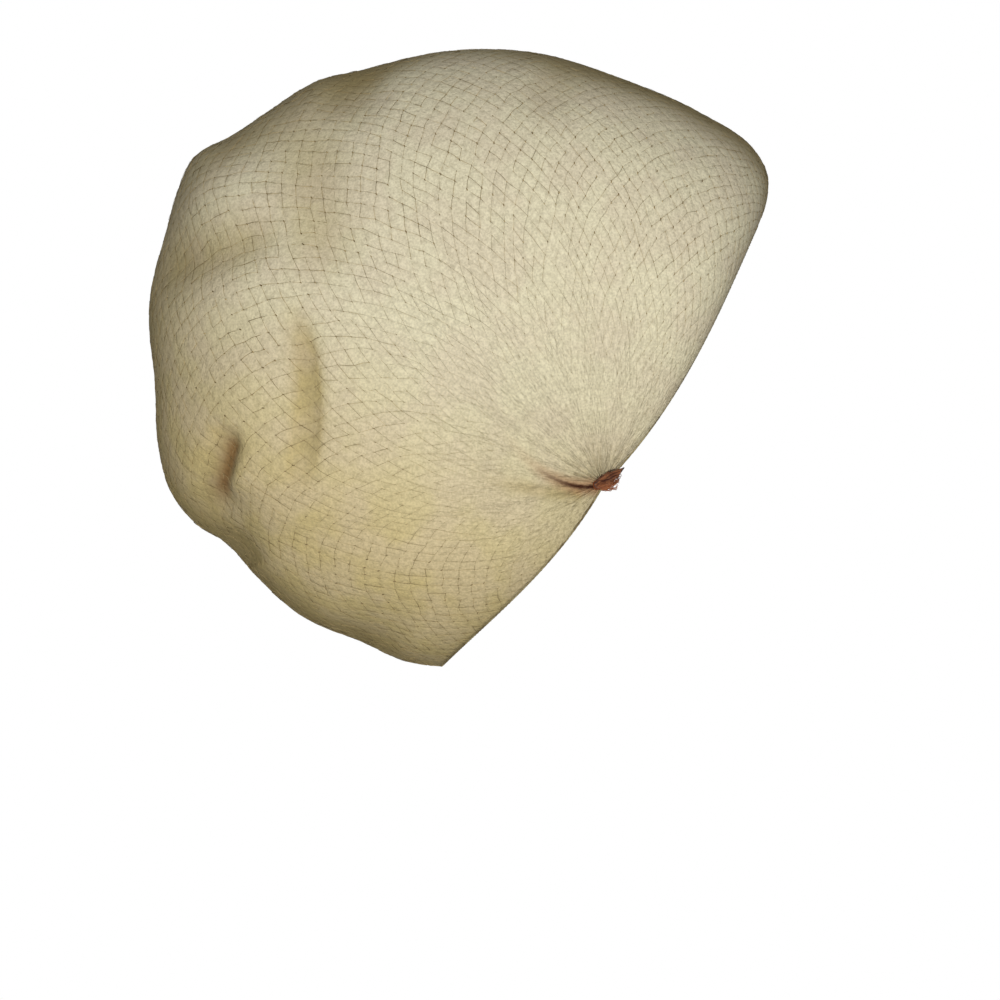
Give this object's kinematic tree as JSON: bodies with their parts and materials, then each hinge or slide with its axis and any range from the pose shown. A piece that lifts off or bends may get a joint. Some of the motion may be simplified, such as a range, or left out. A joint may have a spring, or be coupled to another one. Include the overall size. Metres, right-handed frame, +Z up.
{
  "type": "hairnet",
  "caption": "Full bonnet-shaped hairnet of fine beige cloth net with an elastic rim, gathered into a small bound bunch at each ear.",
  "frame": {"origin": "middle of the straight line between the two ear gathers, the level at which the worn net is held", "axes": "+X the way the wearer faces, +Y the wearer's left, +Z up"},
  "size_m": [0.2348, 0.1902, 0.2344],
  "materials": {
    "cap_cloth": "fine matt beige cloth net, olive where seen edge on",
    "dark_thread": "olive brown thread, matt: the net's threads and knots, and the cover of the elastic cord",
    "gather_cloth": "bunched net, reddish brown, fuzzy",
    "binding_thread": "dark brown wound thread, matt"
  },
  "bodies": {
    "root": {"cap_body": "cap_cloth", "edge_elastic": "dark_thread", "ear_gather_right": "gather_cloth", "ear_gather_left": "gather_cloth", "gather_binding_right": "binding_thread", "gather_binding_left": "binding_thread"}
  },
  "joints": []
}
